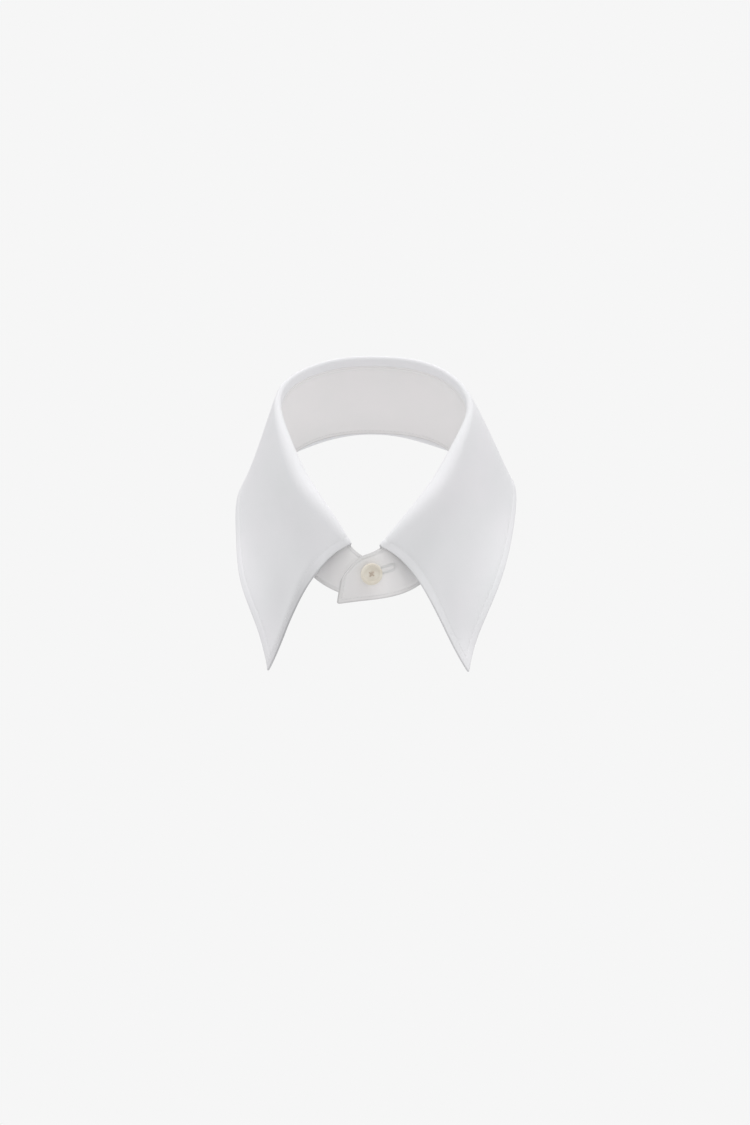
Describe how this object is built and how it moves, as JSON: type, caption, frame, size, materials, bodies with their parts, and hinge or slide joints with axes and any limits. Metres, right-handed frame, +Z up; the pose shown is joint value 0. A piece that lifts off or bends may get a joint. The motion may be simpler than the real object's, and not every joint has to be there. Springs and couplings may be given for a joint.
{
  "type": "detachable shirt collar",
  "caption": "Point collar on its own band, buttoned at the front and filled out as worn, with a rolled fold and an open neck.",
  "frame": {"origin": "middle of the neck opening, half way up the band, where the wearer's neck holds the collar", "axes": "+X to the wearer's left, +Y to the back of the neck, +Z up; the opening leans forwards as on a standing wearer"},
  "size_m": [0.1588, 0.1353, 0.1373],
  "materials": {
    "band_poplin": "smooth white cotton poplin, pressed",
    "leaf_poplin": "smooth white cotton poplin, pressed",
    "shell": null,
    "thread": "white sewing thread"
  },
  "bodies": {
    "root": {"collar_band": "band_poplin", "collar_leaf": "leaf_poplin", "button": "shell", "button_thread": "thread"}
  },
  "joints": []
}
